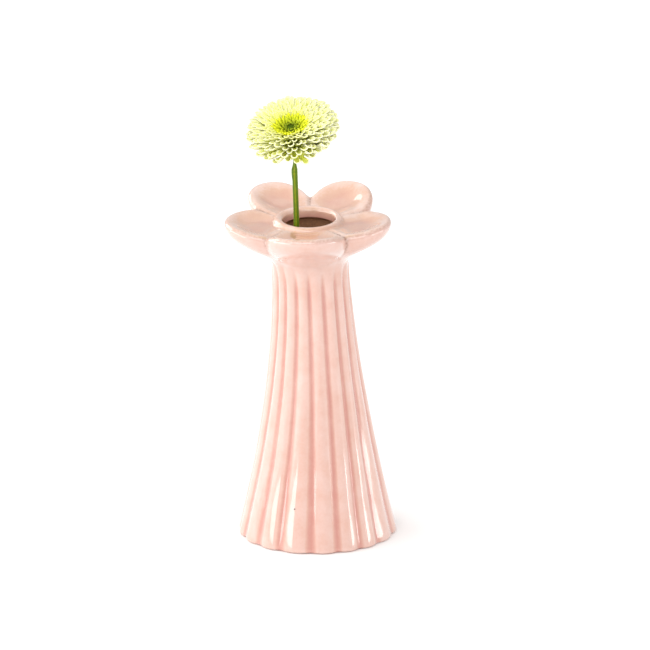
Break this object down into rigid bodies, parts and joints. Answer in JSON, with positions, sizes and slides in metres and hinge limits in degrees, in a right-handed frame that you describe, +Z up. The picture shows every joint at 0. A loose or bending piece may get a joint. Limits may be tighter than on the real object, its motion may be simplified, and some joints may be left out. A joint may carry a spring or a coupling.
{
  "type": "daisy stem in vase",
  "caption": "Single cut double-flowered daisy on a bare stem, standing in a fluted, flared ceramic bud vase whose top is a flower-shaped flange with a round collared mouth.",
  "frame": {"origin": "centre of the vase's flat foot, on the surface it stands on", "axes": "+Z up, front of the vase and of the nodding flower towards -Y, +X to the right seen from the front"},
  "size_m": [0.0902, 0.0883, 0.2421],
  "materials": {
    "pink_glaze": "high gloss",
    "stem_skin": "waxy, finely ridged",
    "bract_green": "matt",
    "ray_petal": "soft satin",
    "young_petal": "soft satin",
    "eye_bud": "matt"
  },
  "bodies": {
    "root": {"vase": "pink_glaze", "stem": "stem_skin", "bracts": "bract_green", "inner_head": "young_petal", "eye": "eye_bud", "ray_floret_01": "ray_petal", "ray_floret_02": "ray_petal", "ray_floret_03": "ray_petal", "ray_floret_04": "ray_petal", "ray_floret_05": "ray_petal", "ray_floret_06": "ray_petal", "ray_floret_07": "ray_petal", "ray_floret_08": "ray_petal", "ray_floret_09": "ray_petal", "ray_floret_10": "ray_petal", "ray_floret_11": "ray_petal", "ray_floret_12": "ray_petal", "ray_floret_13": "ray_petal", "ray_floret_14": "ray_petal", "ray_floret_15": "ray_petal", "ray_floret_16": "ray_petal", "ray_floret_17": "ray_petal", "ray_floret_18": "ray_petal", "ray_floret_19": "ray_petal", "ray_floret_20": "ray_petal", "ray_floret_21": "ray_petal", "ray_floret_22": "ray_petal", "ray_floret_23": "ray_petal", "ray_floret_24": "ray_petal", "ray_floret_25": "ray_petal", "ray_floret_26": "ray_petal", "ray_floret_27": "ray_petal", "ray_floret_28": "ray_petal", "ray_floret_29": "ray_petal", "ray_floret_30": "ray_petal", "ray_floret_31": "ray_petal", "ray_floret_32": "ray_petal", "ray_floret_33": "ray_petal", "ray_floret_34": "ray_petal", "ray_floret_35": "ray_petal", "ray_floret_36": "ray_petal", "ray_floret_37": "ray_petal", "ray_floret_38": "ray_petal", "ray_floret_39": "ray_petal", "ray_floret_40": "ray_petal", "ray_floret_41": "ray_petal", "ray_floret_42": "ray_petal", "ray_floret_43": "ray_petal", "ray_floret_44": "ray_petal", "ray_floret_45": "ray_petal", "ray_floret_46": "ray_petal", "ray_floret_47": "ray_petal", "ray_floret_48": "ray_petal", "ray_floret_49": "ray_petal", "ray_floret_50": "ray_petal", "ray_floret_51": "ray_petal", "ray_floret_52": "ray_petal", "ray_floret_53": "ray_petal", "ray_floret_54": "ray_petal"}
  },
  "joints": []
}
